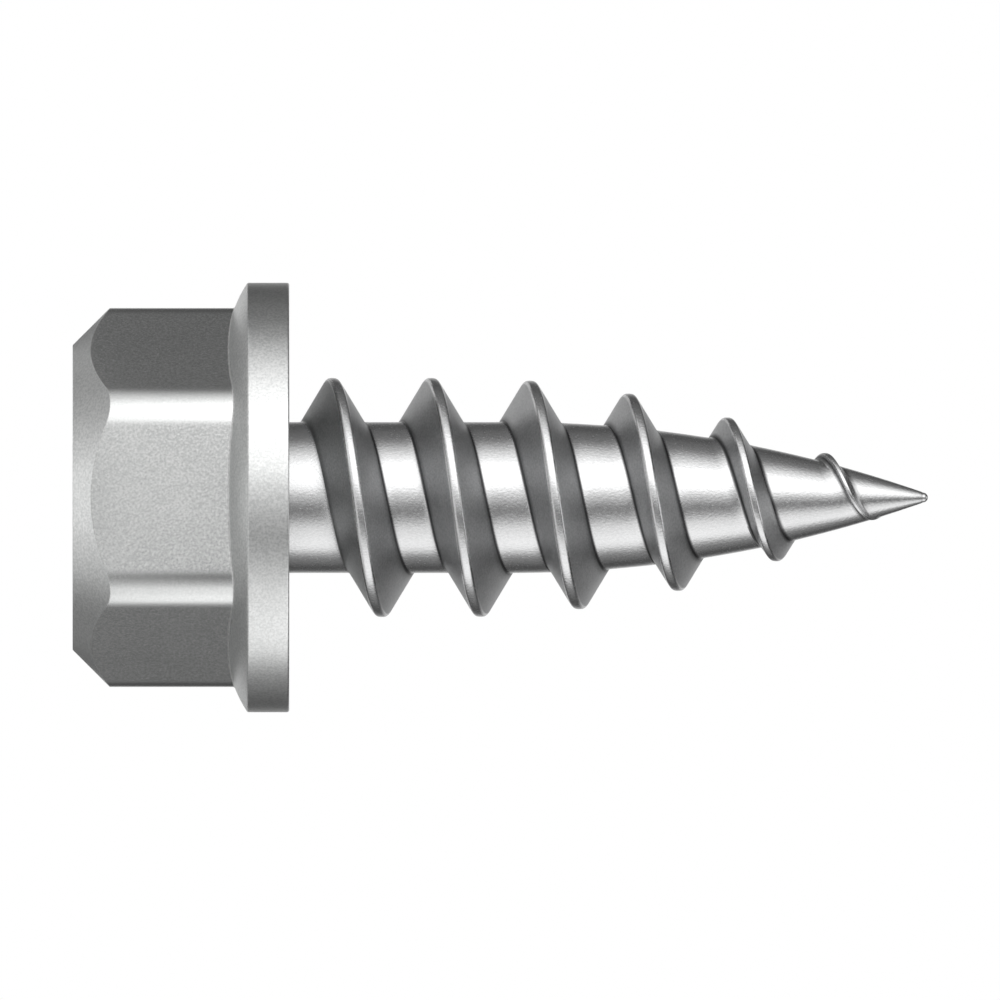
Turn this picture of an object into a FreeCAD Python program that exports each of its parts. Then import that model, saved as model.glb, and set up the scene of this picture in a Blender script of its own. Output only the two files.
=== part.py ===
import FreeCAD, Part
import math
import os

import Sketcher
from FreeCAD import Vector

# A ventilation duct screw, headed and thread-rolled from one piece of hardened steel wire: a hexagon
# head on a domed washer flange, a straight core, and a self-piercing point that the thread follows.
# Millimetres. The flange's bearing face lies in z = 0, the head hangs below it and the point is up.

os.makedirs("parts", exist_ok=True)
doc = FreeCAD.newDocument("duct_screw")

# Driving sizes

SIZES = {
    "under_head_length": 13.0,
    "core_diameter": 3.07,
    "straight_core_length": 4.55,
    "tip_radius": 0.1,
    "thread_diameter": 4.87,
    "thread_pitch": 2.014,
    "thread_angle": 60.0,
    "crest_width": 0.15,
    "crest_width_at_point": 0.04,
    "first_full_crest": 0.875,
    "run_out_turns": 0.5,
    "crest_taper_lead": 1.1,
    "bare_point_length": 0.7,
    "head_height": 4.41,
    "across_flats": 6.92,
    "corner_round": 0.9,
    "head_chamfer": 0.756,
    "chamfer_angle": 45.0,
    "flange_diameter": 8.75,
    "rim_height": 0.85,
    "rim_round": 0.05,
    "dome_height": 1.27,
    "dome_radius": 2.46,
}

# How finely the curves are laid out, and how deep the thread's feet and ends are buried in the core

HEAD_SIDES = 6
POINT_TAPERS = 6
STATIONS_PER_TURN = 24
STATIONS_PER_FACE = 12
FOOT_DEPTH = 0.13
START_DEPTH = 0.02
END_TURNS = 0.05

# The first full crest lies towards -X

FIRST_CREST_TURN = math.pi

sheet = doc.addObject("Spreadsheet::Sheet", "Sizes")
for row, (name, value) in enumerate(SIZES.items(), start=1):
    sheet.set("A%d" % row, name)
    sheet.set("B%d" % row, str(value))
    sheet.setAlias("B%d" % row, name)
doc.recompute()


def size(name):
    return float(sheet.get(name))


# Sketch helpers

def new_sketch(body, role, name):
    plane = [item for item in body.Origin.OriginFeatures if item.Role == role][0]
    sketch = body.newObject("Sketcher::SketchObject", name)
    sketch.AttachmentSupport = (plane, "")
    sketch.MapMode = "FlatFace"
    return sketch


def draw_line(sketch, start, end):
    return sketch.addGeometry(Part.LineSegment(Vector(*start, 0), Vector(*end, 0)))


def draw_arc(sketch, centre, radius, first, last, construction=False):
    circle = Part.Circle(Vector(*centre, 0), Vector(0, 0, 1), radius)
    return sketch.addGeometry(Part.ArcOfCircle(circle, first, last), construction)


def constrain(sketch, kind, *targets):
    return sketch.addConstraint(Sketcher.Constraint(kind, *targets))


def dimension(sketch, name, expression, kind, *targets):
    index = constrain(sketch, kind, *targets)
    sketch.renameConstraint(index, name)
    sketch.setExpression("Constraints." + name, expression)


# The point: its core follows one arc, tangent to the straight core and to the ball of the tip

def point_arc_radius():
    rise = size("under_head_length") - size("tip_radius") - size("straight_core_length")
    half_core = size("core_diameter") / 2
    tip = size("tip_radius")
    return (rise**2 + half_core**2 - tip**2) / (2 * (half_core - tip))


def core_radius(height):
    past = max(0.0, height - size("straight_core_length"))
    arc = point_arc_radius()
    return size("core_diameter") / 2 - arc + math.sqrt(arc**2 - past**2)


# The turned blank: flange, straight core and point in one profile about the axis

def blank_profile(body):
    half_flange = size("flange_diameter") / 2
    rim = size("rim_height")
    dome = size("dome_height")
    bend = size("dome_radius")
    half_core = size("core_diameter") / 2
    straight = size("straight_core_length")
    length = size("under_head_length")
    tip = size("tip_radius")
    arc = point_arc_radius()
    lean = math.asin((length - tip - straight) / (arc - tip))
    middle = half_flange - math.sqrt(bend**2 - (bend - dome + rim)**2)
    rim_turn = -math.acos((half_flange - middle) / bend)

    sketch = new_sketch(body, "XZ_Plane", "BlankProfile")
    axis = draw_line(sketch, (0, length), (0, -dome))
    crown = draw_line(sketch, (0, -dome), (middle, -dome))
    dome_arc = draw_arc(sketch, (middle, bend - dome), bend, -math.pi / 2, rim_turn)
    rim_line = draw_line(sketch, (half_flange, -rim), (half_flange, 0))
    seat = draw_line(sketch, (half_flange, 0), (half_core, 0))
    core = draw_line(sketch, (half_core, 0), (half_core, straight))
    ogive = draw_arc(sketch, (half_core - arc, straight), arc, 0, lean, True)
    ball = draw_arc(sketch, (0, length - tip), tip, lean, math.pi / 2)
    tapers = []
    for step in range(POINT_TAPERS):
        ends = []
        for turn in (lean * step / POINT_TAPERS, lean * (step + 1) / POINT_TAPERS):
            ends.append((half_core - arc + arc * math.cos(turn), straight + arc * math.sin(turn)))
        tapers.append(draw_line(sketch, *ends))

    for corner in ((axis, 2, crown, 1), (dome_arc, 2, rim_line, 1), (rim_line, 2, seat, 1),
                   (seat, 2, core, 1), (core, 2, tapers[0], 1), (tapers[-1], 2, ball, 1),
                   (ball, 2, axis, 1)):
        constrain(sketch, "Coincident", *corner)
    for lower, upper in zip(tapers, tapers[1:]):
        constrain(sketch, "Coincident", lower, 2, upper, 1)
        constrain(sketch, "PointOnObject", lower, 2, ogive)
        constrain(sketch, "Equal", lower, upper)
    for smooth in ((crown, 2, dome_arc, 1), (core, 2, ogive, 1), (ogive, 2, ball, 1)):
        constrain(sketch, "Tangent", *smooth)
    for upright in (axis, rim_line, core):
        constrain(sketch, "Vertical", upright)
    for level in (crown, seat):
        constrain(sketch, "Horizontal", level)
    constrain(sketch, "PointOnObject", axis, 1, -2)
    constrain(sketch, "PointOnObject", ball, 3, -2)
    constrain(sketch, "PointOnObject", seat, 1, -1)

    dimension(sketch, "FlangeRadius", "Sizes.flange_diameter / 2", "DistanceX", -1, 1, seat, 1, half_flange)
    dimension(sketch, "RimHeight", "Sizes.rim_height", "DistanceY", rim_line, 1, rim_line, 2, rim)
    dimension(sketch, "DomeHeight", "Sizes.dome_height", "DistanceY", axis, 2, -1, 1, dome)
    dimension(sketch, "DomeRadius", "Sizes.dome_radius", "Radius", dome_arc, bend)
    dimension(sketch, "CoreRadius", "Sizes.core_diameter / 2", "DistanceX", -1, 1, core, 1, half_core)
    dimension(sketch, "StraightCore", "Sizes.straight_core_length", "DistanceY", core, 1, core, 2, straight)
    dimension(sketch, "TipRadius", "Sizes.tip_radius", "Radius", ball, tip)
    dimension(sketch, "Length", "Sizes.under_head_length", "DistanceY", -1, 1, axis, 1, length)
    return sketch


# The hexagon: a flat faces -Y, so two corners lie on the X axis

def hexagon_profile(body):
    corner = size("across_flats") / math.sqrt(3)
    corners = []
    for index in range(HEAD_SIDES):
        turn = 2 * math.pi * index / HEAD_SIDES
        corners.append((corner * math.cos(turn), corner * math.sin(turn)))

    sketch = new_sketch(body, "XY_Plane", "HexagonProfile")
    sketch.setExpression("AttachmentOffset.Base.z", "-Sizes.head_height")
    circle = sketch.addGeometry(Part.Circle(Vector(0, 0, 0), Vector(0, 0, 1), corner), True)
    sides = []
    for start, end in zip(corners, corners[1:] + corners[:1]):
        sides.append(draw_line(sketch, start, end))
    for side, following in zip(sides, sides[1:] + sides[:1]):
        constrain(sketch, "Coincident", side, 2, following, 1)
        constrain(sketch, "PointOnObject", side, 2, circle)
    for side in sides[1:]:
        constrain(sketch, "Equal", sides[0], side)
    constrain(sketch, "Coincident", circle, 3, -1, 1)
    constrain(sketch, "PointOnObject", sides[0], 1, -1)
    dimension(sketch, "CornerRadius", "Sizes.across_flats / sqrt(3)", "Radius", circle, corner)
    return sketch


def edges_at(shape, radius, upright):
    found = []
    for index, edge in enumerate(shape.Edges, start=1):
        ends = [vertex.Point for vertex in edge.Vertexes]
        reach = [abs(math.hypot(end.x, end.y) - radius) for end in ends]
        rise = abs(ends[0].z - ends[-1].z)
        if max(reach) < Part.Precision.approximation() and (rise > Part.Precision.confusion()) == upright:
            found.append("Edge%d" % index)
    return found


# The chamfer round the top of the head: a cone cut from a triangle that stands clear of the corners

def chamfer_profile(body):
    flats = size("across_flats")
    top = -size("head_height")
    corner = flats / math.sqrt(3)
    rounded = corner - size("corner_round") * (2 / math.sqrt(3) - 1)
    inner = rounded - size("head_chamfer")
    outer = flats
    depth = (outer - inner) * math.tan(math.radians(size("chamfer_angle")))

    sketch = new_sketch(body, "XZ_Plane", "ChamferProfile")
    slope = draw_line(sketch, (inner, top), (outer, top + depth))
    side = draw_line(sketch, (outer, top + depth), (outer, top))
    base = draw_line(sketch, (outer, top), (inner, top))
    for line, following in ((slope, side), (side, base), (base, slope)):
        constrain(sketch, "Coincident", line, 2, following, 1)
    constrain(sketch, "Vertical", side)
    constrain(sketch, "Horizontal", base)
    dimension(sketch, "TopRadius",
              "Sizes.across_flats / sqrt(3) - Sizes.corner_round * (2 / sqrt(3) - 1) - Sizes.head_chamfer",
              "DistanceX", -1, 1, base, 2, inner)
    dimension(sketch, "OuterRadius", "Sizes.across_flats", "DistanceX", -1, 1, base, 1, outer)
    dimension(sketch, "HeadTop", "Sizes.head_height", "DistanceY", base, 2, -1, 1, -top)
    dimension(sketch, "ChamferAngle", "Sizes.chamfer_angle * 1 deg", "Angle", base, 2, slope, 1,
              math.radians(size("chamfer_angle")))
    return sketch


def build_blank():
    body = doc.addObject("PartDesign::Body", "Blank")
    hexagon = body.newObject("PartDesign::Pad", "Hexagon")
    hexagon.Profile = hexagon_profile(body)
    hexagon.setExpression("Length", "Sizes.head_height - Sizes.rim_height")
    doc.recompute()

    corners = body.newObject("PartDesign::Fillet", "CornerRound")
    corners.Base = (hexagon, edges_at(hexagon.Shape, size("across_flats") / math.sqrt(3), True))
    corners.setExpression("Radius", "Sizes.corner_round")
    doc.recompute()

    chamfer = body.newObject("PartDesign::Groove", "HeadChamfer")
    cone = chamfer_profile(body)
    chamfer.Profile = cone
    chamfer.ReferenceAxis = (cone, ["V_Axis"])
    chamfer.Angle = 360
    doc.recompute()

    turned = body.newObject("PartDesign::Revolution", "FlangeAndCore")
    profile = blank_profile(body)
    turned.Profile = profile
    turned.ReferenceAxis = (profile, ["V_Axis"])
    turned.Angle = 360
    doc.recompute()

    rim = body.newObject("PartDesign::Fillet", "RimRound")
    rim.Base = (turned, edges_at(turned.Shape, size("flange_diameter") / 2, False))
    rim.setExpression("Radius", "Sizes.rim_round")
    doc.recompute()
    return body


# The rolled thread: a flat-crested 60 degree ridge on a helix. It eases out of the core at the back,
# over the run-out, and towards the tip its crest follows an arc down to where it meets the core.

def thread_start():
    return size("first_full_crest") - size("run_out_turns") * size("thread_pitch")


def thread_end():
    return size("under_head_length") - size("bare_point_length")


def crest_taper_start():
    return size("straight_core_length") - size("crest_taper_lead")


def crest_radius(height):
    full = size("thread_diameter") / 2
    rise = thread_end() - crest_taper_start()
    fall = full - core_radius(thread_end())
    arc = (rise**2 + fall**2) / (2 * fall)
    past = max(0.0, height - crest_taper_start())
    tapered = full - arc + math.sqrt(arc**2 - past**2)
    share = min(1.0, (height - thread_start()) / (size("first_full_crest") - thread_start()))
    eased = share**2 * (3 - 2 * share)
    buried = core_radius(height) - START_DEPTH
    return buried + (tapered - buried) * eased


def crest_flat(height):
    share = (height - crest_taper_start()) / (thread_end() - crest_taper_start())
    share = min(1.0, max(0.0, share))
    return size("crest_width") + (size("crest_width_at_point") - size("crest_width")) * share


def flank_slope():
    return math.tan(math.radians(size("thread_angle") / 2))


# Foot, crest edge, crest edge and foot of the ridge, as radii and as offsets along the axis

def ridge_section(height):
    crest = crest_radius(height)
    half_flat = crest_flat(height) / 2
    feet = []
    for side in (-1, 1):
        reach = half_flat + (crest - core_radius(height)) * flank_slope()
        foot = core_radius(height + side * reach) - FOOT_DEPTH
        feet.append((foot, side * (half_flat + (crest - foot) * flank_slope())))
    return feet[0], (crest, -half_flat), (crest, half_flat), feet[1]


def helix_point(height, radius, offset):
    turn = FIRST_CREST_TURN + 2 * math.pi * (height - size("first_full_crest")) / size("thread_pitch")
    return Vector(radius * math.cos(turn), radius * math.sin(turn), height + offset)


# A straight-sided strip between two rails that share their knots

def strip_between(first, second):
    surface = Part.BSplineSurface()
    poles = [first.getPoles(), second.getPoles()]
    surface.buildFromPolesMultsKnots(poles, [2, 2], first.getMultiplicities(), [0.0, 1.0],
                                     first.getKnots(), False, False, 1, first.Degree)
    return surface.toShape()


def build_ridge():
    bottom = thread_start()
    top = thread_end() + END_TURNS * size("thread_pitch")
    stations = math.ceil((top - bottom) / size("thread_pitch") * STATIONS_PER_TURN)
    places = [float(index) for index in range(stations + 1)]
    sections = []
    for index in range(stations + 1):
        height = bottom + (top - bottom) * index / stations
        sections.append([helix_point(height, *corner) for corner in ridge_section(height)])

    rails = []
    for points in zip(*sections):
        rail = Part.BSplineCurve()
        rail.interpolate(Points=list(points), Parameters=places)
        rails.append(rail)

    faces = []
    for end in (sections[0], sections[-1]):
        faces.append(Part.Face(Part.makePolygon(end + end[:1])))
    breaks = [float(index) for index in range(0, stations, STATIONS_PER_FACE)] + [float(stations)]
    for begin, finish in zip(breaks, breaks[1:]):
        spans = []
        for rail in rails:
            span = rail.copy()
            span.segment(begin, finish)
            spans.append(span)
        for span, neighbour in zip(spans, spans[1:] + spans[:1]):
            faces.append(strip_between(span, neighbour))

    shell = Part.makeShell(faces)
    shell.sewShape()
    thread = doc.addObject("Part::Feature", "ThreadRidge")
    thread.Shape = Part.makeSolid(shell)
    return thread


blank = build_blank()
ridge = build_ridge()

screw = doc.addObject("Part::Fuse", "Screw")
screw.Base = blank
screw.Tool = ridge
screw.Label = "duct_screw"
screw.Placement = FreeCAD.Placement()
doc.recompute()

# Nothing is written until every object is sound and the screw is one closed solid

for item in doc.Objects:
    if "Invalid" in item.State or "Error" in item.State:
        raise RuntimeError("%s failed: %s" % (item.Label, item.State))
for item in (blank, ridge, screw):
    if item.Shape.isNull() or not item.Shape.isValid():
        raise RuntimeError("%s has no sound shape" % item.Label)
if len(screw.Shape.Solids) != 1:
    raise RuntimeError("the thread and the blank are not one piece")
grown = screw.Shape.Volume - blank.Shape.Volume
if not 0 < grown < ridge.Shape.Volume:
    raise RuntimeError("the thread does not stand on the core")

screw.Shape.exportStep("parts/%s.step" % screw.Label)
box = screw.Shape.optimalBoundingBox(False)
print("%s: %.3f x %.3f x %.3f mm, %.1f mm3, of which the thread adds %.1f"
      % (screw.Label, box.XLength, box.YLength, box.ZLength, screw.Shape.Volume, grown))
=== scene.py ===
# %% [markdown]
# A ventilation duct screw, about 17 mm long: a hexagon head on a domed washer flange, and a
# tapered shank that pierces thin sheet by itself. The real one is headed and rolled from one piece
# of wire and then zinc plated. The solid model gives the sizes and the frame. This lesson gives the
# screw its smooth surfaces, its rolled thread with a rounded crest, its finishes, and the studio
# that the metal mirrors.

# %% Load the frame
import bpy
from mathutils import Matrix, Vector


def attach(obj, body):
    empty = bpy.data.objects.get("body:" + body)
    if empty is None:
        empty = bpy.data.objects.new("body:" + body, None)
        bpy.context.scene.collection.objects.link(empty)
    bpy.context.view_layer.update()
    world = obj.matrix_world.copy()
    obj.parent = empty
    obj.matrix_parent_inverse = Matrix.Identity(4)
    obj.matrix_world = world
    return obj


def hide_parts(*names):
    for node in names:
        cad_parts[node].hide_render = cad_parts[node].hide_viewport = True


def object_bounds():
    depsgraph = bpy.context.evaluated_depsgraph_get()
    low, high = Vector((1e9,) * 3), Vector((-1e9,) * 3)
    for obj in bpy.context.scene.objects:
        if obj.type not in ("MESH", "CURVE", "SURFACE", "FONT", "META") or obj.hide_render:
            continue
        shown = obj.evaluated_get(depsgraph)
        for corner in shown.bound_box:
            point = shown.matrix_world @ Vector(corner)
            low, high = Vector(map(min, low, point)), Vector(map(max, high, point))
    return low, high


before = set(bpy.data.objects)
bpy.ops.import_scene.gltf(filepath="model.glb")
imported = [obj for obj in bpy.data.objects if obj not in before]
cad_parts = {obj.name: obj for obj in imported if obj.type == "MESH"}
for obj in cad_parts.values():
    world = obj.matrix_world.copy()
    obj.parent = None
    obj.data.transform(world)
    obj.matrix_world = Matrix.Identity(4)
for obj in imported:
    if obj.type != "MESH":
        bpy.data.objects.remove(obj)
solid_box = [list(corner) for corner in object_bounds()]

import math
import bmesh
import bpy
from mathutils import Matrix, Vector

MM = 0.001


def in_mm(box):
    return [[round(value / MM, 3) for value in corner] for corner in box]


print("solid box in mm", in_mm(solid_box))

# %% [markdown]
# The main sizes of the screw stand here once, in millimetres, as on a fastener drawing. The axis is
# Z, the bearing face of the flange is z = 0, the head hangs below it and the point is up. The
# overall sizes come from the solid model, so that the smooth screw can't grow out of it. The rim
# there has facets, so the flange takes its smaller reach.

# %% The sizes of the screw
LENGTH = solid_box[1][2] / MM
HEAD_HEIGHT = -solid_box[0][2] / MM
FLANGE_RADIUS = min(solid_box[1][0], solid_box[1][1]) / MM

CORE_RADIUS = 1.535
STRAIGHT_CORE = 4.55
TIP_RADIUS = 0.1

THREAD_RADIUS = 2.435
PITCH = 2.014
FLANK_ANGLE = math.radians(30)
CREST_WIDTH = 0.17
CREST_WIDTH_AT_POINT = 0.04
CROWN_RADIUS = 0.9
FIRST_FULL_CREST = 0.875
RUN_OUT_TURNS = 0.5
CREST_TAPERS_EARLIER = 1.1
CREST_TAPER_START = STRAIGHT_CORE - CREST_TAPERS_EARLIER
BARE_POINT = 1.0
FOOT_ROUND = 0.03

ACROSS_FLATS = 6.92
CORNER_ROUND = 0.9
HEAD_CHAMFER = 0.756
RIM_HEIGHT = 0.85
RIM_ROUND = 0.05
DOME_HEIGHT = 1.27
DOME_RADIUS = 2.46
print("length %.2f, head %.2f, flange radius %.3f" % (LENGTH, HEAD_HEIGHT, FLANGE_RADIUS))

# %% [markdown]
# The threaded shank follows one rule, so a Geometry Nodes tree makes it. A plain grid of points is
# wound round the axis like a ribbon. Each row of the grid is one small step along the helix, and
# the columns run across one pitch, from the foot of the ridge over its crest to the next foot.
# The rule is arithmetic, which is long to wire by hand. This small class lets the tree be written
# as formulas instead: every operator adds one Math node.
# A share lies between 0 and 1. An eased share starts and stops gently. One value blended above
# another is the larger of the two, with the change from one to the other rounded over a width.

# %% Formulas that become Math nodes
class Formula:
    def __init__(self, tree, socket):
        self.tree = tree
        self.socket = socket

    def node(self, operation, *others):
        math_node = self.tree.nodes.new("ShaderNodeMath")
        math_node.operation = operation
        for slot, value in enumerate((self,) + others):
            if isinstance(value, Formula):
                self.tree.links.new(value.socket, math_node.inputs[slot])
            else:
                math_node.inputs[slot].default_value = value
        return Formula(self.tree, math_node.outputs[0])

    def __add__(self, other):
        return self.node("ADD", other)

    def __sub__(self, other):
        return self.node("SUBTRACT", other)

    def __mul__(self, other):
        return self.node("MULTIPLY", other)

    def __truediv__(self, other):
        return self.node("DIVIDE", other)

    def __neg__(self):
        return self.node("MULTIPLY", -1.0)

    def without_sign(self):
        return self.node("ABSOLUTE")

    def at_least(self, other):
        return self.node("MAXIMUM", other)

    def at_most(self, other):
        return self.node("MINIMUM", other)

    def share(self):
        return self.at_least(0.0).at_most(1.0)

    def eased(self):
        return self * self * (-(self * 2.0) + 3.0)

    def root(self):
        return self.at_least(0.0).node("SQRT")

    def blended_above(self, other, width):
        gap = self - other
        return (self + other + (gap * gap + width * width).root()) * 0.5


print("a formula knows:", [name for name in vars(Formula) if not name.startswith("_")])

# %% [markdown]
# A tree is easy to use again when its sizes are inputs with names, so the tree gets one input for
# each size of the thread. The formulas read those inputs and hold no size of their own. The cap
# height is where the ribbon ends, a little below the tip, and a small ball closes the screw there.

# %% A tree whose sizes are inputs
def tree_with_sizes(name, sizes):
    tree = bpy.data.node_groups.new(name, "GeometryNodeTree")
    tree.is_modifier = True
    sockets = tree.interface
    sockets.new_socket("Geometry", in_out="INPUT", socket_type="NodeSocketGeometry")
    for label, value in sizes.items():
        socket = sockets.new_socket(label, in_out="INPUT", socket_type="NodeSocketFloat")
        socket.default_value = value
    sockets.new_socket("Geometry", in_out="OUTPUT", socket_type="NodeSocketGeometry")
    entry = tree.nodes.new("NodeGroupInput")
    return tree, {label: Formula(tree, entry.outputs[label]) for label in sizes}


CAP_BELOW_TIP = 1.5 * TIP_RADIUS
CAP_HEIGHT = LENGTH - CAP_BELOW_TIP
thread_sizes = {
    "Length": LENGTH, "Core radius": CORE_RADIUS, "Straight core": STRAIGHT_CORE,
    "Tip radius": TIP_RADIUS, "Thread radius": THREAD_RADIUS, "Pitch": PITCH,
    "Crest taper start": CREST_TAPER_START, "Bare point": BARE_POINT,
    "Crest width": CREST_WIDTH, "Crest width at point": CREST_WIDTH_AT_POINT,
    "Crown radius": CROWN_RADIUS, "First full crest": FIRST_FULL_CREST,
    "Run-out turns": RUN_OUT_TURNS, "Foot round": FOOT_ROUND, "Cap height": CAP_HEIGHT,
}
thread_tree, size = tree_with_sizes("threaded_shank", thread_sizes)
print("the tree takes %d sizes" % len(size))

# %% [markdown]
# The core and the crest. The core is straight near the head and then tapers to the tip on a long
# arc. Rolling dies press the steel up into a ridge that winds along it. The ridge eases out of the
# core behind the flange. Towards the point its crest comes down on an arc of its own and meets the
# core shortly before the tip, which is what lets the screw pierce thin sheet and pull itself in.
# Both are a radius for each height along the axis, and each arc follows from its two ends.

# %% Core and crest at a height
def core_at(height, size):
    rise = size["Length"] - size["Tip radius"] - size["Straight core"]
    fall = size["Core radius"] - size["Tip radius"]
    reach = size["Core radius"] + size["Tip radius"]
    arc = (rise * rise + reach * fall) / (fall * 2.0)
    past = (height - size["Straight core"]).at_least(0.0)
    return (arc * arc - past * past).root() - arc + size["Core radius"]


def crest_at(height, size):
    end = size["Length"] - size["Bare point"]
    rise = end - size["Crest taper start"]
    fall = size["Thread radius"] - core_at(end, size)
    arc = (rise * rise + fall * fall) / (fall * 2.0)
    past = (height - size["Crest taper start"]).at_least(0.0)
    tapered = (arc * arc - past * past).root() - arc + size["Thread radius"]
    run_out = size["Run-out turns"] * size["Pitch"]
    risen = ((height - size["First full crest"]) / run_out + 1.0).share().eased()
    buried = core_at(height, size) - size["Foot round"]
    return buried + (tapered - buried) * risen


print("the core tapers over %.2f mm, the crest over %.2f mm" % (
    LENGTH - STRAIGHT_CORE, LENGTH - BARE_POINT - CREST_TAPER_START))

# %% [markdown]
# The ridge's section has 60 degrees between its flanks. A rolled crest isn't sharp: it is a narrow
# land, slightly crowned, with rounded edges, and it narrows shortly before the point. So the ridge
# is drawn by how far its surface has dropped below the crest at a distance from its middle. The
# land drops slowly and the flank steeply, and the larger of the two drops is the surface. Their
# blend makes the round edge. The foot is where the flank has come down to the core. Two numbers
# count in half crest widths: how wide that blend is, and how far out the shoulder lies, where the
# crest is taken to end and the flank to begin.

# %% The ridge's section
EDGE_ROUND = 0.4
SHOULDER = 1.4


def half_crest_at(height, size):
    end = size["Length"] - size["Bare point"]
    taper = ((height - size["Crest taper start"]) / (end - size["Crest taper start"])).share()
    narrowed = taper * taper * taper
    change = size["Crest width at point"] - size["Crest width"]
    return (size["Crest width"] + change * narrowed) * 0.5


def foot_at(height, core, size):
    half = half_crest_at(height, size)
    drop = crest_at(height, size) - core
    return (half + drop * math.tan(FLANK_ANGLE)).at_least(half * SHOULDER + size["Foot round"])


def ridge_at(height, offset, size):
    half = half_crest_at(height, size)
    away = offset.without_sign()
    land_drop = away * away / (size["Crown radius"] * 2.0)
    flank_drop = (away - half) / math.tan(FLANK_ANGLE)
    return crest_at(height, size) - land_drop.blended_above(flank_drop, half * EDGE_ROUND)


print("a full ridge is %.2f mm wide at its foot" % (
    CREST_WIDTH + 2 * (THREAD_RADIUS - CORE_RADIUS) * math.tan(FLANK_ANGLE)))

# %% [markdown]
# The ribbon. Its rows are steps along the helix, 288 to a turn, so that the outline stays round in
# a close view. It starts below the bearing face and ends above the tip, and what lies beyond is
# removed later. The grid numbers its points row by row, so a point's step and column follow from
# its index. A small guard is added before rounding down, against the division's last digit.

# %% The ribbon's grid
STEPS_PER_TURN = 288
LEAD_IN_TURNS = 1.5
FLANK_COLUMNS, CREST_COLUMNS, ROOT_COLUMNS = 4, 10, 7
ROUNDING_GUARD = 0.001

nodes, links = thread_tree.nodes, thread_tree.links
columns = 2 * FLANK_COLUMNS + CREST_COLUMNS + ROOT_COLUMNS + 1
steps = math.ceil(LENGTH / PITCH + LEAD_IN_TURNS + 1) * STEPS_PER_TURN + 1
grid = nodes.new("GeometryNodeMeshGrid")
grid.inputs["Vertices X"].default_value = steps
grid.inputs["Vertices Y"].default_value = columns

index = Formula(thread_tree, nodes.new("GeometryNodeInputIndex").outputs[0])
step = (index / columns + ROUNDING_GUARD).node("FLOOR")
column = index - step * columns
print("ribbon of %d x %d points" % (steps, columns))

# %% [markdown]
# Across the ribbon the columns climb the lower flank, round the crest, go down the upper flank and
# cross the bare core to the next turn's foot. They crowd together at the feet and on the crest,
# where the surface bends, and stand wide apart where it is flat. The core is a little thinner above
# a ridge than below it, so each foot is worked out with the core's own radius on its side, a
# quarter of a pitch from the ridge's middle.

# %% Where each column stands across the ridge
centre = (step / STEPS_PER_TURN - LEAD_IN_TURNS) * size["Pitch"]
above = centre + size["Pitch"]
beside = size["Pitch"] * 0.25
low_foot = foot_at(centre, core_at(centre - beside, size), size)
high_foot = foot_at(centre, core_at(centre + beside, size), size)
next_foot = foot_at(above, core_at(above - beside, size), size)
shoulder = half_crest_at(centre, size) * SHOULDER

climb = (column / FLANK_COLUMNS).share()
around = ((column - FLANK_COLUMNS) / CREST_COLUMNS).share()
descent = -((column - FLANK_COLUMNS - CREST_COLUMNS) / FLANK_COLUMNS).share() + 1.0
across = ((column - 2 * FLANK_COLUMNS - CREST_COLUMNS) / ROOT_COLUMNS).share().eased()
offset = ((around * 2.0 - 1.0) * shoulder
          - (low_foot - shoulder) * (-(climb * climb) + 1.0)
          + (high_foot - shoulder) * (-(descent * descent) + 1.0)
          + (size["Pitch"] - next_foot - high_foot) * across)
print("the tree has %d nodes so far" % len(nodes))

# %% [markdown]
# The surface. A point's height is its turn's height and its place across the ridge. Rows that would
# lie below the bearing face or above the cap at the tip are pressed onto those heights. The radius
# is the larger of core and ridge, and blending the two makes the small fillet at the foot. The
# start angle sets the thread's phase: it puts the first full crest on the side where it is seen in
# the photograph's view.

# %% From ribbon to surface
height = (centre + offset).at_least(0.0).at_most(size["Cap height"])
own_ridge = ridge_at(centre, height - centre, size)
next_ridge = ridge_at(above, height - above, size)
core = core_at(height, size)
radius = own_ridge.at_least(next_ridge).blended_above(core, size["Foot round"])

start_angle = math.pi - 2 * math.pi * (FIRST_FULL_CREST / PITCH + LEAD_IN_TURNS)
angle = step.node("MODULO", STEPS_PER_TURN) * (2 * math.pi / STEPS_PER_TURN) + start_angle

position = nodes.new("ShaderNodeCombineXYZ")
wound = (radius * angle.node("COSINE"), radius * angle.node("SINE"), height)
for socket, value in zip(position.inputs, wound):
    links.new((value * MM).socket, socket)
shape = nodes.new("GeometryNodeSetPosition")
links.new(grid.outputs["Mesh"], shape.inputs["Geometry"])
links.new(position.outputs[0], shape.inputs["Position"])
print("the ribbon starts at %.1f degrees" % (math.degrees(start_angle) % 360))

# %% [markdown]
# Three facts about each point are stored as attributes for the finish: how far it stands above the
# core, how far it lies below the crest, counted in half crest widths, and how near it is to the
# ridge's foot, where a dark line of painted shade goes. That painted shade fades where the ridge
# stands less high than a given height. The tree knows all three exactly, so no mask has to be
# painted.

# %% Attributes for the finish
# The painted shade line at the ridge's foot: how wide it is, and the ridge height at which it is
# full.
FOOT_SHADE_WIDTH = 2 * FOOT_ROUND
FOOT_SHADE_FULL_HEIGHT = 0.26

above_core = (radius - core).at_least(0.0)
below_crest = ((crest_at(centre, size) - radius) / half_crest_at(centre, size)).at_least(0.0)
to_feet = [offset + low_foot, offset - high_foot, offset - (size["Pitch"] - next_foot)]
to_low, to_high, to_next = [gap.without_sign() for gap in to_feet]
to_foot = to_low.at_most(to_high).at_most(to_next)
stands = ((crest_at(centre, size) - core_at(centre, size)) / FOOT_SHADE_FULL_HEIGHT).share()
# Where the painted shade line at the foot goes.
painted_foot_shade = (-(to_foot / FOOT_SHADE_WIDTH).share() + 1.0) * stands

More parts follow.
